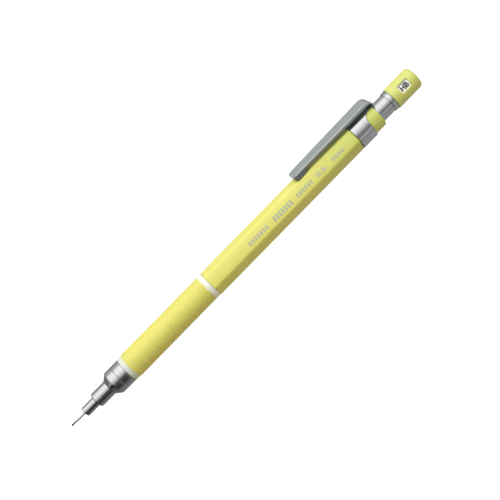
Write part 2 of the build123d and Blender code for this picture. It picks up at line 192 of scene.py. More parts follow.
DRUM_WEB = (131.6, 132.2)  # its start and end
DRUM_WALL = 0.5
CAP_BORE = 2.95
CAP_EDGE = 0.12
CAP_DOME = 0.95  # rounding of the cap's end
CAP_RISE = 0.22  # of the cap's end, within its rounding
WINDOW_ANGLE = math.radians(64)
WINDOW_X = CAP_START + 4.55
WINDOW_LENGTH = 3.65
WINDOW_WIDTH = 2.72
WINDOW_CORNER = 0.35
GRADES = ("HB", "B", "2B", "2H", "H", "F")
GRADE_WIDTH = 1.38  # of a letter
GRADE_HEIGHT = 1.75
INK = 0.012  # thickness of the print
INK_LIFT = 0.002  # between the print and what it lies on
PRINT_UP = -0.40  # from the middle of the side
PRINT_SIZE_X = 100.7
PRINT_SIZE = (3.4, 1.5)  # its width and height
PRINT_PITCH = 1.1
PRINT_BAR = 0.68  # a bar's share of the pitch
PRINT_ROWS = (  # start, end and height
    (72.0, 79.7, 1.3),
    (81.8, 89.4, 1.7),
    (91.0, 97.5, 1.3),
    (105.3, 110.0, 1.2),
)
REAR_SHADE_START = 90  # where the barrel's yellow begins to turn darker and greener, painted shade of the dim rear
REAR_SHADE_END = 120
STEPS = 144  # sides of a turned piece


# ---- meshes ----
def point(x, r, angle):
    """A point at that place along the axis, that far from it, at that angle from the clip."""
    return Vector((x, -r * math.sin(angle), r * math.cos(angle)))


def rounded(corners, steps=5):
    """A closed outline's points. A corner is (x, y), or (x, y, rounding)."""
    points = []
    for n, corner in enumerate(corners):
        here = Vector(corner[:2])
        if len(corner) < 3:
            points.append(here)
            continue
        back = (Vector(corners[n - 1][:2]) - here).normalized()
        on = (Vector(corners[(n + 1) % len(corners)][:2]) - here).normalized()
        half = back.angle(on) / 2
        centre = here + (back + on).normalized() * (corner[2] / math.sin(half))
        first = here + back * (corner[2] / math.tan(half)) - centre
        turn = math.pi - 2 * half
        if back.cross(on) > 0:
            turn = -turn
        for k in range(steps + 1):
            points.append(centre + Matrix.Rotation(turn * k / steps, 2) @ first)
    return points


def finish_mesh(name, bm, crease=38):
    """Turns a bmesh drawn in the pencil's frame into a smooth-shaded object in the row frame."""
    bmesh.ops.remove_doubles(bm, verts=bm.verts, dist=1e-5)
    bmesh.ops.dissolve_degenerate(bm, dist=1e-6, edges=bm.edges)
    bmesh.ops.recalc_face_normals(bm, faces=bm.faces)
    bm.transform(PLACE)
    mesh = bpy.data.meshes.new(name)
    bm.to_mesh(mesh)
    bm.free()
    for face in mesh.polygons:
        face.use_smooth = True
    mesh.set_sharp_from_angle(angle=math.radians(crease))
    piece = bpy.data.objects.new(name, mesh)
    bpy.context.collection.objects.link(piece)
    normals = piece.modifiers.new("normals", "WEIGHTED_NORMAL")
    normals.keep_sharp = True
    return piece


def skin(bm, sections, around=True, ends=True):
    """Faces between sections of equal length. around closes each section, ends caps the outer two."""
    rows = [[bm.verts.new(p) for p in section] for section in sections]
    count = len(rows[0])
    for row, following in zip(rows, rows[1:]):
        for n in range(count if around else count - 1):
            m = (n + 1) % count
            bm.faces.new((row[n], row[m], following[m], following[n]))
    if ends:
        bm.faces.new(rows[0])
        bm.faces.new(reversed(rows[-1]))


def lathe(name, corners, steps=STEPS):
    """The closed outline of (x, radius) corners, turned about the axis."""
    outline = rounded(corners)
    bm = bmesh.new()
    sections = [
        [point(x, r, 2 * math.pi * n / steps) for x, r in outline] for n in range(steps + 1)
    ]
    skin(bm, sections, ends=False)
    return finish_mesh(name, bm)


# ---- materials ----
MATERIALS = {}  # by name
EVEN = (1, 1, 1)
TURNED = (1, 0, 0)  # grain that runs round the axis
DRAWN = (0.03, 1, 1)  # grain that runs along the axis


def node(tree, kind, **settings):
    """A shader node, with its properties and its unlinked inputs set by name."""
    made = tree.nodes.new(kind)
    for name, value in settings.items():
        if hasattr(made, name):
            setattr(made, name, value)
        else:
            made.inputs[name.replace("_", " ")].default_value = value
    return made


def noise(tree, stretch, scale, detail=3.0):
    """Noise in the row frame, in units of 1 / scale metres, stretched by a factor along each axis."""
    place = node(tree, "ShaderNodeTexCoord")
    mapping = node(tree, "ShaderNodeMapping", Scale=stretch)
    texture = node(tree, "ShaderNodeTexNoise", Scale=scale, Detail=detail)
    tree.links.new(place.outputs["Object"], mapping.inputs["Vector"])
    tree.links.new(mapping.outputs["Vector"], texture.inputs["Vector"])
    return texture.outputs["Fac"]


def between(tree, factor, low, high):
    """Maps noise onto a range of numbers."""
    made = node(tree, "ShaderNodeMapRange", From_Min=0.3, From_Max=0.7, To_Min=low, To_Max=high)
    tree.links.new(factor, made.inputs["Value"])
    return made.outputs["Result"]


def mixed(tree, factor, low, high):
    """Mixes two colours by noise."""
    made = node(tree, "ShaderNodeValToRGB")
    made.color_ramp.elements[0].position = 0.3
    made.color_ramp.elements[0].color = (*low, 1)
    made.color_ramp.elements[1].position = 0.7
    made.color_ramp.elements[1].color = (*high, 1)
    tree.links.new(factor, made.inputs["Fac"])
    return made.outputs["Color"]


def shade(color, share):
    return tuple(c * share for c in color)


def shade_along_barrel(tree, first, last):
    """Mixes two colours by the place along the barrel: painted shade, darker and greener towards the rear.
    """
    place = node(tree, "ShaderNodeTexCoord")
    parts = node(tree, "ShaderNodeSeparateXYZ")
    low, high = (ORIGIN.x + x * MM for x in (REAR_SHADE_START, REAR_SHADE_END))
    share = node(tree, "ShaderNodeMapRange", From_Min=low, From_Max=high)
    made = node(tree, "ShaderNodeMixRGB")
    tree.links.new(place.outputs["Object"], parts.inputs[0])
    tree.links.new(parts.outputs["X"], share.inputs["Value"])
    tree.links.new(share.outputs["Result"], made.inputs["Fac"])
    tree.links.new(first, made.inputs["Color1"])
    tree.links.new(last, made.inputs["Color2"])
    return made.outputs["Color"]


def material(
    name, color, rough, vary=0.03, patch=260, grain=EVEN, grain_scale=5000, bump=0.0, rear=None, **shader
):
    """A surface whose colour varies in patches, and whose gloss and relief follow a finer grain.

    rough holds the least and the greatest roughness, bump is in millimetres, and rear is the darker,
    greener colour that the surface turns to along the barrel, painted shade of the dim rear.
    """
    made = bpy.data.materials.new(name)
    made.use_nodes = True
    tree = made.node_tree
    surface = tree.nodes["Principled BSDF"]
    for socket, value in shader.items():
        surface.inputs[socket.replace("_", " ")].default_value = value
    patches = noise(tree, EVEN, patch)
    fine = noise(tree, grain, grain_scale)
    paint = mixed(tree, patches, shade(color, 1 - vary), shade(color, 1 + vary))
    if rear:
        rear_shade_paint = mixed(tree, patches, shade(rear, 1 - vary), shade(rear, 1 + vary))
        paint = shade_along_barrel(tree, paint, rear_shade_paint)
    tree.links.new(paint, surface.inputs["Base Color"])
    tree.links.new(between(tree, fine, rough[0], rough[1]), surface.inputs["Roughness"])
    if bump:
        relief = node(tree, "ShaderNodeBump", Strength=1.0, Distance=bump * MM)
        tree.links.new(fine, relief.inputs["Height"])
        tree.links.new(relief.outputs["Normal"], surface.inputs["Normal"])
    MATERIALS[name] = made
    return made


CHROME = (0.48, 0.487, 0.487)
YELLOW = (0.70, 0.66, 0.155)
BARREL_YELLOW = (0.70, 0.66, 0.135)
# painted shade: the barrel's yellow made darker and greener, as the dim rear of the barrel shows it
REAR_SHADE_YELLOW = (0.56, 0.60, 0.125)


def plastic(name, color, rough, **more):
    return material(name, color, rough, vary=0.02, grain_scale=9000, bump=0.0012, IOR=1.5, **more)


def glossy(name, color, coat, **more):
    return plastic(name, color, (0.26, 0.36), Coat_Weight=coat, Coat_Roughness=0.12, **more)


def plated(name, rough=(0.07, 0.15), color=CHROME):
    return material(name, color, rough, grain=TURNED, grain_scale=14000, bump=0.0006, Metallic=1.0)


def pressed(name, color, rough):
    return material(name, color, rough, grain=DRAWN, grain_scale=12000, bump=0.001, Metallic=1.0)


plated("nose_chrome")
plated("bush_chrome")
plated("tube_chrome", rough=(0.10, 0.20))
plated("band_chrome", rough=(0.06, 0.14))
plated("pipe_steel", rough=(0.18, 0.30), color=(0.66, 0.67, 0.68))
pressed("clip_steel", (0.60, 0.64, 0.63), (0.40, 0.54))
# the clip's steel, darkened on the foot under its tip: painted shade
pressed("shaded_foot_steel", (0.33, 0.335, 0.325), (0.38, 0.5))
material("spring_steel", (0.55, 0.56, 0.58), (0.25, 0.4), bump=0.001, Metallic=1.0)
plated("clutch_brass", rough=(0.2, 0.35), color=(0.70, 0.52, 0.24))
plated("chuck_brass", rough=(0.2, 0.35), color=(0.72, 0.54, 0.27))
# the barrel's colour darkens towards its rear: painted shade
glossy("barrel_yellow", BARREL_YELLOW, coat=0.4, rear=REAR_SHADE_YELLOW)
plastic("grip_yellow", YELLOW, (0.34, 0.46))
glossy("cap_yellow", (0.59, 0.61, 0.15), coat=0.25)
plastic("white_trim", (0.79, 0.79, 0.67), (0.25, 0.35))
plastic("ring_grey", (0.61, 0.64, 0.56), (0.25, 0.35))
plastic("drum_white", (0.86, 0.86, 0.83), (0.30, 0.40))
plastic("liner_plastic", (0.70, 0.66, 0.28), (0.4, 0.5))
plastic("connector_plastic", (0.60, 0.60, 0.58), (0.4, 0.5))
plastic("housing_plastic", (0.70, 0.70, 0.66), (0.4, 0.5))
plastic("reservoir_plastic", (0.74, 0.74, 0.71), (0.35, 0.45))
material("retainer_rubber", (0.02, 0.02, 0.02), (0.6, 0.75), bump=0.002)
material("eraser_white", (0.80, 0.80, 0.77), (0.65, 0.8), grain_scale=3000, bump=0.006)
material("graphite", (0.035, 0.036, 0.04), (0.3, 0.5), vary=0.2, patch=2500, bump=0.002, Metallic=0.35)
material("ink_black", (0.012, 0.012, 0.014), (0.35, 0.5), vary=0.15, patch=3000)
material("ink_grey", (0.44, 0.46, 0.30), (0.35, 0.5), vary=0.12, patch=3000)

for name, cad_node in frame["nodes"].items():
    cad_node.data.materials.clear()
    cad_node.data.materials.append(MATERIALS[SLOT_OF[name]])


def dress(piece, finish, node_name):
    """Gives a piece its finish and its slot, and lets it move with a CAD node."""
    piece.data.materials.append(MATERIALS[finish])
    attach(piece, BODY_OF[node_name])


def stand_for(piece, node_name, finish=None):
    """piece takes a CAD node's place and slot, and has that slot's finish unless it is given another."""
    slot = SLOT_OF[node_name]
    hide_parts(node_name)
    dress(piece, finish or slot, node_name)


# ---- nose ----
def make_nose():
    """The stepped nose, its threaded tail and its bores."""
    cone_end = SEAM - NOSE_GAP
    corners = [
        (NOSE_FRONT, PIPE_R),
        (NOSE_FRONT, NOSE_TIP_R, 0.35),
        (NOSE_TIP_END, NOSE_TIP_R, 0.05),
        (NOSE_TIP_END, STEP_R, 0.5),
        (STEP_END, STEP_R, 0.05),
        (STEP_END + 0.03, STEP_R + 0.17, 0.05),
        (STEP_END + CONE_LENGTH, NOSE_R, 0.45),
        (cone_end, NOSE_R, 0.09),
        (cone_end, THREAD_ROOT),
    ]
    top = THREAD_ROOT + THREAD_RIDGE
    turns = int((NOSE_END - SEAM - 0.8) / THREAD_PITCH)
    for n in range(turns):
        x = SEAM + 0.3 + n * THREAD_PITCH
        corners += [(x, THREAD_ROOT), (x + 0.2, top, 0.04), (x + 0.4, top, 0.04), (x + 0.58, THREAD_ROOT)]
    corners.append((NOSE_END, THREAD_ROOT, 0.1))
    behind = NOSE_END
    for x, r in NOSE_BORES:
        corners += [(behind, r), (x, r)]
        behind = x
    seat_start, seat_end = RETAINER_SEAT
    corners += [(seat_end, RETAINER_SEAT_R), (seat_start, RETAINER_SEAT_R), (seat_start, PIPE_R)]
    stand_for(lathe("nose", corners), "nose_cone")


def make_pipe():
    corners = [
        (PIPE_START, PIPE_BORE, 0.03),
        (PIPE_START, PIPE_R, 0.08),
        (PIPE_END, PIPE_R),
        (PIPE_END, PIPE_BORE),
    ]
    stand_for(lathe("lead_pipe", corners, steps=48), "guide_pipe")


def make_lead():
    """The lead, its point worn to a slant on one side."""
    steps, slant, point_end = 40, 0.22, 0.3
    sections = []
    for x, share in ((0, 0.62), (0.05, 0.78), (0.14, 0.92), (point_end, 1), (LEAD_END, 1)):
        ring = [point(x, LEAD_R * share, 2 * math.pi * n / steps) for n in range(steps)]
        if x < point_end:
            for p in ring:
                p.x += max(0.0, p.z / LEAD_R) * slant * (1 - x / LEAD_END)
        sections.append(ring)
    bm = bmesh.new()
    skin(bm, sections)
    stand_for(finish_mesh("lead_stick", bm), "lead")


# ---- barrel ----
def make_rings():
    """The bush's bright ring, and the trim ring at each end of the grip."""
    bright_end = RING_1 - BUSH_GAP
    bush = [
        (SEAM, BUSH_BORE),
        (BUSH_RIM, BUSH_BORE),
        (BUSH_RIM, BUSH_SLEEVE_BORE),
        (BUSH_END, BUSH_SLEEVE_BORE),
        (BUSH_END, INNER_BORE),
        (INNER_START, INNER_BORE),
        (INNER_START, INNER_R),
        (RING_1, INNER_R),
        (RING_1, NOSE_R - 0.2),
        (bright_end, NOSE_R - 0.2, 0.03),
        (bright_end, NOSE_R, 0.08),
        (SEAM, NOSE_R, 0.09),
    ]
    stand_for(lathe("bush_ring", bush), "thread_bush")
    for name, cad_name, start, end, finish in (
        ("front_ring", "front_trim_ring", RING_1, GRIP_START, "ring_grey"),
        ("middle_ring", "middle_trim_ring", RING_2, RING_2_END, "white_trim"),
    ):
        r = radius(cad_name)
        corners = [(start, SHELL_BORE), (start, r, 0.16), (end, r, 0.1), (end, SHELL_BORE)]
        stand_for(lathe(name, corners), cad_name, finish)


def make_grip():
    """The grip, its ribs flat on top and rounded at their edges."""
    pitch = (RING_2 - GRIP_START) / RIBS
    floor = GRIP_R - RIB_DEPTH
    corners = [(GRIP_START, SHELL_BORE), (GRIP_START, floor)]
    for n in range(RIBS):
        x = GRIP_START + n * pitch
        corners += [
            (x + pitch * RIB_FOOT, floor, 0.05),
            (x + pitch * RIB_TOP, GRIP_R, 0.08),
            (x + pitch * (1 - RIB_TOP), GRIP_R, 0.08),
            (x + pitch * (1 - RIB_FOOT), floor, 0.05),
        ]
    corners += [(RING_2, floor), (RING_2, SHELL_BORE)]
    stand_for(lathe("ribbed_grip", corners), "grip")


def hexagon(x, inset):
    """The barrel's section, drawn in by inset: six slightly crowned sides, and rounded edges."""
    back = CROWN_R - CROWN_TOP
    slope = back * math.cos(math.radians(30))
    centre_r = -slope + math.sqrt(slope**2 + (CROWN_R - HEX_ROUND) ** 2 - back**2)
    meet = math.degrees(math.atan2(centre_r / 2, centre_r * math.cos(math.radians(30)) + back))
    points = []
    for side in range(6):
        out = FLAT_ANGLE + math.radians(60 * side)
        edge = out + math.radians(30)
        for k in range(-5, 6):
            turn = out + math.radians(meet) * k / 5
            points.append(point(x, -back, out) + point(0, CROWN_R - inset, turn))
        for k in range(1, 8):
            turn = edge + math.radians(30 - meet) * (k / 4 - 1)
            points.append(point(x, centre_r, edge) + point(0, HEX_ROUND - inset, turn))
    return points


def make_barrel():
    """The six-sided barrel, rounded at both ends and bored through."""
    start, end, r = BARREL_START, BARREL_END, HEX_END_ROUND
    sections = []
    for k in range(7):
        turn = math.radians(90 * k / 6)
        sections.append(hexagon(start + r * (1 - math.sin(turn)), r * (1 - math.cos(turn))))
    sections.reverse()
    for k in range(7):
        turn = math.radians(90 * k / 6)
        sections.append(hexagon(end - r * (1 - math.sin(turn)), r * (1 - math.cos(turn))))
    angles = [math.atan2(-p.y, p.z) for p in sections[0]]
    for x in (end, start):
        sections.append([point(x, SHELL_BORE, angle) for angle in angles])
    sections.append(sections[0])
    bm = bmesh.new()
    skin(bm, sections, ends=False)
    stand_for(finish_mesh("six_sided_barrel", bm), "hex_barrel")


def make_collar():
    """The yellow end of the barrel, slotted for the clip's tongue."""
    slot_r = BAND_BORE - 0.04
    neck_start = BAND_START + 0.1

    def section(angle):
        edge, top = tongue_edge(angle, SLOT_MARGIN), COLLAR_R
        if edge > COLLAR_END:  # the slot runs out at the end
            edge, top = COLLAR_START + COLLAR_MIDDLE, slot_r
        corners = [
            (COLLAR_START, COLLAR_BORE),
            (COLLAR_END, COLLAR_BORE, 0.05),
            (COLLAR_END, top, 0.5),
            (edge, top),
            (edge - 0.02, slot_r - 0.01),
            (neck_start, slot_r - 0.01),
            (neck_start, INNER_R),
            (COLLAR_START, INNER_R),
        ]
        return [point(x, r, angle) for x, r in rounded(corners)]

    bm = bmesh.new()
    skin(bm, [section(angle) for angle in tongue_angles(SLOT_MARGIN)], ends=False)
    stand_for(finish_mesh("barrel_end", bm), "end_collar")


# ---- clip ----
def tongue_edge(angle, margin):
    """How far along the axis the band and its tongue reach at that angle."""
    y = abs(math.sin(angle)) * BAND_R
    half = TONGUE_HALF + margin
    wide = half + TONGUE_FILLET
    start = BAND_RING_END + margin
    if math.cos(angle) <= 0 or y >= wide:
        return start
    if y <= half + 1e-6:
        return TONGUE_END + margin
    return start + TONGUE_FILLET - math.sqrt(TONGUE_FILLET**2 - (wide - y) ** 2)


def tongue_angles(margin):
    """Angles right round the axis, closer together where the tongue's flare is steep."""
    side = math.asin((TONGUE_HALF + margin) / BAND_R)
    quarter = [side * k / 12 for k in range(13)]
    quarter += [side + 1e-4 + (math.pi / 2 - side) * (k / 30) ** 1.6 for k in range(31)]
    quarter += [math.pi / 2 + math.pi / 2 * k / 30 for k in range(1, 31)]
    return [-angle for angle in reversed(quarter)] + quarter[1:]


def make_band():
    """The clip's band and the tongue that carries the arm."""

    def section(angle):
        corners = [
            (BAND_START, BAND_BORE, 0.04),
            (tongue_edge(angle, 0), BAND_BORE, 0.04),
            (tongue_edge(angle, 0), BAND_R, 0.1),
            (BAND_START, BAND_R, 0.1),
        ]
        return [point(x, r, angle) for x, r in rounded(corners)]

    bm = bmesh.new()
    skin(bm, [section(angle) for angle in tongue_angles(0)], ends=False)
    stand_for(finish_mesh("clip_ring", bm), "clip_band")


def clip_section(half, depth):
    """A channel's outline as (across, up) points: a plate with a folded edge each side."""
    lip = depth - CLIP_PLATE
    outside = min(0.09, depth * 0.2)
    inside = min(0.2, lip * 0.45)
    small = min(0.06, lip * 0.4)
    wall = half - CLIP_PLATE
    corners = [
        (-half, -depth, outside),
        (-half, 0, 0.2),
        (half, 0, 0.2),
        (half, -depth, outside),
        (wall, -depth, small),
        (wall, -CLIP_PLATE, inside),
        (-wall, -CLIP_PLATE, inside),
        (-wall, -depth, small),
    ]
    return rounded(corners, steps=4)


def make_clip():
    """The clip's arm, folded along both edges and bent down to the band's tongue."""
    first, last = CLIP_TIP + 0.9, CLIP_END - CLIP_BEND
    folded = CLIP_DEEP - CLIP_SHALLOW
    drop = CLIP_TOP - BAND_R - CLIP_END_LIFT
    stations = [CLIP_TIP + CLIP_CORNER * (1 - math.cos(math.radians(90 * k / 8))) for k in range(9)]
    stations += [first + (last - first) * k / 40 for k in range(1, 41)]
    sections = []
    for x in stations:
        into = x - CLIP_TIP
        half = CLIP_TIP_HALF + (CLIP_HALF - CLIP_TIP_HALF) * into / (last - CLIP_TIP)
        top = CLIP_TIP_TOP + (CLIP_TOP - CLIP_TIP_TOP) * (x - first) / (last - first)
        if into < CLIP_CORNER:
            left = CLIP_CORNER - into
            half -= CLIP_CORNER - math.sqrt(CLIP_CORNER**2 - left**2)
            top -= CLIP_TIP_SINK * (1 - math.sqrt(1 - (left / CLIP_CORNER) ** 2))
        fold = min(max((x - FOLD_START) / (FOLD_FULL - FOLD_START), 0), 1)
        outline = clip_section(half, CLIP_SHALLOW + folded * fold)
        sections.append([Vector((x, y, top + z)) for y, z in outline])
    for k in range(1, 17):
        turn = math.radians(90 * k / 16)
        spot = Vector((last + CLIP_BEND * math.sin(turn), 0, CLIP_TOP - drop * (1 - math.cos(turn))))
        out = Vector((math.sin(turn) / CLIP_BEND, 0, math.cos(turn) / drop)).normalized()
        half = CLIP_HALF - 0.3 * (k / 16) ** 2
        outline = clip_section(half, CLIP_DEEP - folded * min(k / 12, 1) ** 1.5)
        sections.append([spot + Vector((0, y, 0)) + out * z for y, z in outline])
    bm = bmesh.new()
    skin(bm, sections)
    stand_for(finish_mesh("clip_strip", bm, crease=50), "clip_arm")


def make_clip_foot():
    """The foot under the clip's tip, which rests on the barrel, its steel darkened as painted shade."""
    lowest = FLAT_R + FOOT_REST
    under = CLIP_TIP_TOP - CLIP_PLATE + 0.05
    outline = rounded(
        [
            (CLIP_TIP + 0.25, under),
            (CLIP_TIP + 0.3, lowest + 0.45, 0.15),
            (CLIP_TIP + 0.7, lowest, 0.2),
            (FOOT_END - 2.8, lowest, 0.8),
            (FOOT_END - 1.0, lowest + 0.85, 0.8),
            (FOOT_END, under, 0.2),
            (FOOT_END - 0.4, under + 0.15),
            (CLIP_TIP + 0.3, under + 0.15),
        ]
    )
    edge = 0.12
    middle = sum(outline, Vector((0, 0))) / len(outline)
    sections = []
    for k in range(5):
        turn = math.radians(90 * k / 4)
        y = FOOT_HALF - edge * (1 - math.cos(turn))
        share = 1 - edge * (1 - math.sin(turn)) / 1.2
        spots = [middle + (p - middle) * share for p in outline]
        sections.append([Vector((spot.x, y, spot.y)) for spot in spots])
    sections += [[Vector((p.x, -p.y, p.z)) for p in section] for section in reversed(sections)]
    bm = bmesh.new()
    skin(bm, sections)
    # the foot's darker steel is painted shade under the clip's tip
    dress(finish_mesh("clip_foot", bm), "shaded_foot_steel", "clip_arm")


# ---- push button, spring, drum and cap ----
def make_tube():
    end = INDICATOR_START - 0.02
    corners = [
        (TUBE_START, TUBE_BORE),
        (end, TUBE_BORE),
        (end, TUBE_R, 0.04),
        (TUBE_START, TUBE_R, 0.1),
    ]
    stand_for(lathe("push_tube", corners), "button_tube")


def make_spring():
    """The return spring, closed at both ends, which shortens towards its back end in a push."""
    wire_r, turns, steps, sides = 0.15, 10, 24, 10
    start, end = SPRING_START + wire_r, SPRING_END - wire_r
    closed = wire_r * 2.1
    pitch = (end - start - 2 * closed) / (turns - 2)
    sections = []
    for k in range(turns * steps + 1):
        turn = k / steps
        x = min(start + closed * turn, start + closed)
        x += pitch * min(max(turn - 1, 0), turns - 2) + closed * max(turn - turns + 1, 0)
        angle = 2 * math.pi * turn
        section = []
        for n in range(sides):
            side = 2 * math.pi * n / sides
            r = SPRING_R - wire_r + wire_r * math.cos(side)
            section.append(point(x + wire_r * math.sin(side), r, angle))
        sections.append(section)
    bm = bmesh.new()
    skin(bm, sections)
    spring = finish_mesh("return_spring", bm, crease=60)
    stand_for(spring, "main_spring")
    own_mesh(spring)


def make_indicator():
    """The button's bright ring, and the drum that the grades are printed on."""
    ring = [
        (INDICATOR_START, DRUM_SKIRT_R),
        (INDICATOR_START, INDICATOR_R, 0.06),
        (INDICATOR_END, INDICATOR_R, 0.08),
        (INDICATOR_END, DRUM_SKIRT_R),
    ]
    stand_for(lathe("bright_ring", ring), "indicator_ring")
    groove = DRUM_END - 1.1
    web_start, web_end = DRUM_WEB
    drum = [
        (DRUM_START, DRUM_BORE),
        (web_start, DRUM_BORE, 0.2),
        (web_start, 0),
        (web_end, 0),
        (web_end, DRUM_R - DRUM_WALL, 0.2),
        (DRUM_END, DRUM_R - DRUM_WALL, 0.1),
        (DRUM_END, DRUM_R, 0.15),
        (groove + 0.7, DRUM_R, 0.05),
        (groove + 0.6, DRUM_R - 0.1, 0.05),
        (groove + 0.1, DRUM_R - 0.1, 0.05),
        (groove, DRUM_R, 0.05),
        (CAP_START, DRUM_R, 0.1),
        (CAP_START, DRUM_SKIRT_R, 0.02),
        (DRUM_START, DRUM_SKIRT_R, 0.1),
    ]
    stand_for(lathe("grade_drum", drum), "indicator_drum")


def lettering(text, width, height):
    """A thin solid of a text, centred, lying in x and y, and cut into strips that can be bent."""
    curve = bpy.data.curves.new(text, "FONT")
    curve.body = text
    curve.resolution_u = 6
    curve.offset = 0.04  # makes the strokes bolder
    holder = bpy.data.objects.new(text, curve)
    bpy.context.collection.objects.link(holder)
    graph = bpy.context.evaluated_depsgraph_get()
    flat = bpy.data.meshes.new_from_object(holder.evaluated_get(graph))
    bm = bmesh.new()
    bm.from_mesh(flat)
    bpy.data.objects.remove(holder)
    bpy.data.curves.remove(curve)
    bpy.data.meshes.remove(flat)
    xs = [v.co.x for v in bm.verts]
    ys = [v.co.y for v in bm.verts]
    for v in bm.verts:
        v.co.x = ((v.co.x - min(xs)) / (max(xs) - min(xs)) - 0.5) * width
        v.co.y = ((v.co.y - min(ys)) / (max(ys) - min(ys)) - 0.5) * height
    thicken(bm, height)
    return bm


def thicken(bm, height):
    """Cuts flat faces of that height into strips, and gives them the thickness of ink."""
    strips = 16
    for k in range(1, strips):
        cut = Vector((0, height * (k / strips - 0.5), 0))
        everything = bm.verts[:] + bm.edges[:] + bm.faces[:]
        bmesh.ops.bisect_plane(bm, geom=everything, plane_co=cut, plane_no=(0, 1, 0))
    made = bmesh.ops.extrude_face_region(bm, geom=bm.faces[:], use_keep_orig=True)
    for v in made["geom"]:
        if isinstance(v, bmesh.types.BMVert):
            v.co.z += INK


def make_grades():
    """The lead grades round the drum, one of which shows in the window."""
    for n, grade in enumerate(GRADES):
        turn = WINDOW_ANGLE + 2 * math.pi * n / len(GRADES)
        bm = lettering(grade, GRADE_WIDTH * len(grade), GRADE_HEIGHT)
        for v in bm.verts:
            x, up, lift = v.co
            v.co = point(WINDOW_X + x, DRUM_R + INK_LIFT + lift, turn - up / DRUM_R)
        mark = finish_mesh("grade_" + grade, bm, crease=30)
        dress(mark, "ink_black", "indicator_drum")


def print_on_flat(name, bm, x=0):
    """Lays a flat print on the barrel's printed side, that far along."""
    across = point(0, 1, FLAT_ANGLE - math.pi / 2)
    for v in bm.verts:
        up = v.co.y + PRINT_UP
        height = CROWN_TOP - up**2 / (2 * CROWN_R) + INK_LIFT + v.co.z
        v.co = point(x + v.co.x, height, FLAT_ANGLE) + across * up
    dress(finish_mesh(name, bm, crease=30), "ink_grey", "hex_barrel")


def make_print():
    """The size, and rows of plain bars in place of words."""
    print_on_flat("print_size", lettering("0.5", *PRINT_SIZE), PRINT_SIZE_X)
    for row, (start, end, height) in enumerate(PRINT_ROWS):
        count = round((end - start) / PRINT_PITCH)
        pitch = (end - start) / count
        bm = bmesh.new()
        for n in range(count):
            left = start + pitch * n
            right = left + pitch * PRINT_BAR
            low, high = -height / 2, height / 2
            bar = rounded([(left, low, 0.15), (right, low, 0.15), (right, high, 0.15), (left, high, 0.15)])
            bm.faces.new([bm.verts.new((p.x, p.y, 0)) for p in bar])
        thicken(bm, height)
        print_on_flat("print_row_" + str(row + 1), bm)


def cap_outline(columns):
    """The cap's wall and end as (x, radius) points, and the numbers of two of them.

    They are the columns' first point outside, and their first inside, where they run backwards.
    """
    rim = CAP_START + 1
    front = [(rim, CAP_BORE), (CAP_START, CAP_BORE), (CAP_START, CAP_R, CAP_EDGE), (rim, CAP_R)]
    outline = [tuple(p) for p in rounded(front)[1:-1]]
    outer_first = len(outline)
    outline += [(x, CAP_R) for x in columns]
    dome_end, dome_r = CAP_END - CAP_RISE, CAP_R - CAP_DOME
    for k in range(9):
        turn = math.radians(90 * k / 8)
        outline.append((dome_end - CAP_DOME * (1 - math.sin(turn)), dome_r + CAP_DOME * math.cos(turn)))
    for k in range(1, 7):
        share = 1 - k / 6
        outline.append((dome_end + CAP_RISE * (1 - share**2), dome_r * share))
    roof = DRUM_END + 0.45
    outline += [(roof, 0), (roof, CAP_BORE - 0.3), (roof - 0.3, CAP_BORE)]
    inner_first = len(outline)
    outline += [(x, CAP_BORE) for x in reversed(columns)]
    return outline, outer_first, inner_first


def make_cap():
    """The cap, with its window cut through by rings of points between the window and the wall's grid."""
    steps, across, along = 240, 40, 44
    reach = WINDOW_LENGTH / 2 + 0.3
    columns = [WINDOW_X - reach + 2 * reach * k / along for k in range(along + 1)]
    outline, outer_first, inner_first = cap_outline(columns)
    bm = bmesh.new()
    rows = []
    for n in range(steps):
        angle = WINDOW_ANGLE + 2 * math.pi * (n - across / 2) / steps
        rows.append([bm.verts.new(point(x, r, angle)) for x, r in outline])
    for n in range(steps):
        m = (n + 1) % steps
        for i in range(len(outline)):
            j = (i + 1) % len(outline)
            if n < across and (0 <= i - outer_first < along or 0 <= i - inner_first < along):
                continue
            bm.faces.new((rows[n][i], rows[n][j], rows[m][j], rows[m][i]))
    border = [(k, 0) for k in range(along)] + [(along, m) for m in range(across)]
    border += [(along - k, across) for k in range(along)] + [(0, across - m) for m in range(across)]
    shares = [Vector((2 * k / along - 1, 2 * m / across - 1)) for k, m in border]
    rings = [[rows[m][outer_first + k] for k, m in border]]
    for k in range(7):
        turn = math.radians(90 * k / 6)
        grow, sink = CAP_EDGE * (1 - math.sin(turn)), CAP_EDGE * (1 - math.cos(turn))
        rings.append(window_ring(bm, shares, grow, CAP_R - sink))
    rings.append(window_ring(bm, shares, 0, CAP_BORE))
    rings.append([rows[m][inner_first + along - k] for k, m in border])
    for ring, following in zip(rings, rings[1:]):
        for n in range(len(ring)):
            m = (n + 1) % len(ring)
            bm.faces.new((ring[n], ring[m], following[m], following[n]))
    stand_for(finish_mesh("cap", bm), "cap_shell")


def window_ring(bm, shares, grow, r):
    """The window's outline, grown by that much, at that distance from the axis.

    shares holds each point's place on a square's border, as shares of the half sides.
    """
    half_length = WINDOW_LENGTH / 2 + grow
    half_width = WINDOW_WIDTH / 2 + grow
    corner = WINDOW_CORNER + grow
    flat_length, flat_width = half_length - corner, half_width - corner
    ring = []
    for share in shares:
        spot = Vector((half_length * share.x, half_width * share.y))
        if abs(spot.x) > flat_length and abs(spot.y) > flat_width:
            core = Vector((math.copysign(flat_length, spot.x), math.copysign(flat_width, spot.y)))
            spot = core + (spot - core).normalized() * corner
        angle = WINDOW_ANGLE + math.asin(spot.y / r)
        ring.append(bm.verts.new(point(WINDOW_X + spot.x, r, angle)))
    return ring


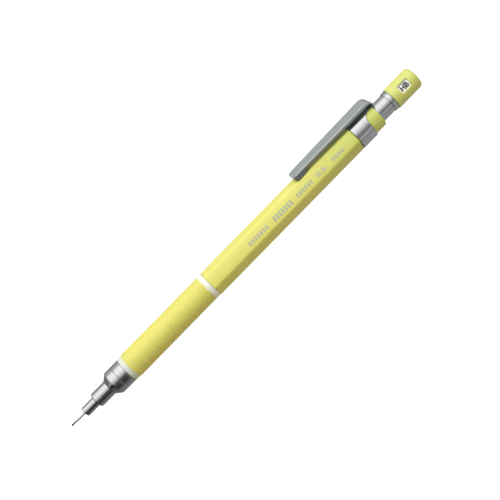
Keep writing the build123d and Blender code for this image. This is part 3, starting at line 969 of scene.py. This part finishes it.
def make_eraser():
    corners = [
        (ERASER_START, 0),
        (ERASER_START, ERASER_R, 0.2),
        (ERASER_END, ERASER_R, 0.4),
        (ERASER_END, 0),
    ]
    stand_for(lathe("eraser_plug", corners), "eraser")


for make in (
    make_nose,
    make_pipe,
    make_lead,
    make_rings,
    make_grip,
    make_barrel,
    make_print,
    make_collar,
    make_band,
    make_clip,
    make_clip_foot,
    make_tube,
    make_spring,
    make_indicator,
    make_grades,
    make_cap,
    make_eraser,
):
    make()


# ---- camera, light and floor ----
CAMERA_ANGLE = math.radians(64.4)  # round the axis, from the clip
VIEW_WIDTH = 142  # at the axis
AIM_X = 71.14
AIM_SHIFT = 1.23
DISTANCE = 299
ROLL = math.radians(45.61)
SENSOR = 36.0
STUDIO_LIGHT = 1.85
END_SHARE = 0.3  # of the tent's light, straight along the axis
REAR_FADE = (-0.1, 0.15)  # a direction's lean to the rear where the card's light begins, and is full
FLOOR_SIZE = 3  # half its width, in metres
FLOOR_DROP = 0.02
FLOOR_GLOW = 0.85
# A tone at each angle, in degrees from overhead towards the clip: all round the table, and what a
# card beside its rear half adds.
TENT = (
    (-180, 0.20),
    (-110, 0.18),
    (-76, 0.15),
    (-55, 0.075),
    (-36, 0.02),
    (-26, 0.05),
    (-16, 0.055),
    (-6, 0.075),
    (0, 0.12),
    (20, 0.53),
    (42, 0.86),
    (66, 1.0),
    (90, 0.86),
    (106, 0.42),
    (141, 0.28),
    (180, 0.20),
)
REAR_CARD = (
    (-180, 0.035),
    (-122, 0.065),
    (-90, 0.12),
    (-67, 0.16),
    (-48, 0.165),
    (-31, 0.32),
    (-15, 0.15),
    (-6, 0.08),
    (1, 0.105),
    (10, 0.0),
    (180, 0.0),
)


def world_direction(local):
    return (PLACE.to_3x3() @ local).normalized()


def make_camera():
    data = bpy.data.cameras.new("camera")
    data.sensor_width = SENSOR
    data.lens = DISTANCE / VIEW_WIDTH * SENSOR
    data.clip_start = 0.01
    camera = bpy.data.objects.new("camera", data)
    bpy.context.collection.objects.link(camera)
    toward = world_direction(point(0, 1, CAMERA_ANGLE))
    across = world_direction(point(0, 1, CAMERA_ANGLE + math.radians(90)))
    right = ALONG * math.cos(ROLL) + across * math.sin(ROLL)
    up = ALONG * math.sin(ROLL) - across * math.cos(ROLL)
    spot = ORIGIN + (ALONG * AIM_X + across * AIM_SHIFT + toward * DISTANCE) * MM
    turned = Matrix((right, up, toward)).transposed().to_4x4()
    camera.matrix_world = Matrix.Translation(spot) @ turned
    bpy.context.scene.camera = camera


def tone_ramp(tree, share, tones):
    """A colour ramp with a tone at each angle."""
    ramp = node(tree, "ShaderNodeValToRGB")
    ramp.color_ramp.interpolation = "EASE"
    stops = ramp.color_ramp.elements
    stops.remove(stops[-1])
    for n, (degrees, tone) in enumerate(tones):
        stop = stops[0] if n == 0 else stops.new(1.0)
        stop.position = (degrees + 180) / 360
        stop.color = (tone, tone, tone, 1)
    tree.links.new(share, ramp.inputs["Fac"])
    return ramp.outputs["Color"]


def combined(tree, operation, first, second):
    """Adds or multiplies two outputs."""
    made = node(tree, "ShaderNodeVectorMath", operation=operation)
    tree.links.new(first, made.inputs[0])
    tree.links.new(second, made.inputs[1])
    return made.outputs["Vector"]


def make_studio():
    """A tent of soft light, bright on the clip's side and dim at both ends, and the card's light."""
    world = bpy.data.worlds.new("studio")
    bpy.context.scene.world = world
    world.use_nodes = True
    tree = world.node_tree
    background = tree.nodes["Background"]
    background.inputs["Strength"].default_value = STUDIO_LIGHT
    place = node(tree, "ShaderNodeTexCoord")
    parts = node(tree, "ShaderNodeSeparateXYZ")
    turn = node(tree, "ShaderNodeMath", operation="ARCTAN2")
    share = node(tree, "ShaderNodeMapRange", From_Min=-math.pi, From_Max=math.pi)
    square = node(tree, "ShaderNodeMath", operation="POWER")
    square.inputs[1].default_value = 2
    ends = node(tree, "ShaderNodeMapRange", To_Min=1.0, To_Max=END_SHARE)
    rear = node(tree, "ShaderNodeMapRange", From_Min=REAR_FADE[0], From_Max=REAR_FADE[1])
    tree.links.new(place.outputs["Generated"], parts.inputs[0])
    tree.links.new(parts.outputs["Y"], turn.inputs[0])
    tree.links.new(parts.outputs["Z"], turn.inputs[1])
    tree.links.new(turn.outputs[0], share.inputs["Value"])
    tree.links.new(parts.outputs["X"], square.inputs[0])
    tree.links.new(square.outputs[0], ends.inputs["Value"])
    tree.links.new(parts.outputs["X"], rear.inputs["Value"])
    tent = tone_ramp(tree, share.outputs["Result"], TENT)
    tent = combined(tree, "MULTIPLY", tent, ends.outputs["Result"])
    card = tone_ramp(tree, share.outputs["Result"], REAR_CARD)
    card = combined(tree, "MULTIPLY", card, rear.outputs["Result"])
    tree.links.new(combined(tree, "ADD", tent, card), background.inputs["Color"])


def make_lamp(name, degrees, energy, spread, color=(1, 1, 1)):
    """A broad lamp at that angle from overhead, left out of all reflections."""
    data = bpy.data.lights.new(name, "SUN")
    data.energy = energy
    data.angle = math.radians(spread)
    data.color = color
    lamp = bpy.data.objects.new(name, data)
    bpy.context.collection.objects.link(lamp)
    toward = Vector((0, math.sin(math.radians(degrees)), math.cos(math.radians(degrees))))
    lamp.rotation_mode = "QUATERNION"
    lamp.rotation_quaternion = toward.to_track_quat("Z", "Y")
    lamp.visible_glossy = False


def make_floor():
    """The white table, kept out of the pencil's own light and reflections."""
    bm = bmesh.new()
    bmesh.ops.create_grid(bm, x_segments=4, y_segments=4, size=FLOOR_SIZE)
    mesh = bpy.data.meshes.new("floor")
    bm.to_mesh(mesh)
    bm.free()
    floor = bpy.data.objects.new("floor", mesh)
    bpy.context.collection.objects.link(floor)
    floor.location.z = -FLOOR_DROP * MM
    floor.visible_diffuse = False
    floor.visible_glossy = False
    paint = material("floor_paper", (0.95, 0.95, 0.95), (0.7, 0.8), vary=0.004, patch=20)
    surface = paint.node_tree.nodes["Principled BSDF"]
    surface.inputs["Emission Color"].default_value = (1, 1, 1, 1)
    surface.inputs["Emission Strength"].default_value = FLOOR_GLOW
    mesh.materials.append(paint)


make_camera()
make_floor()
make_studio()
make_lamp("key", degrees=62, energy=1.3, spread=20)
make_lamp("bounce", degrees=-75, energy=0.8, spread=70, color=(1.0, 0.72, 0.24))
bpy.context.scene.view_settings.view_transform = "Standard"
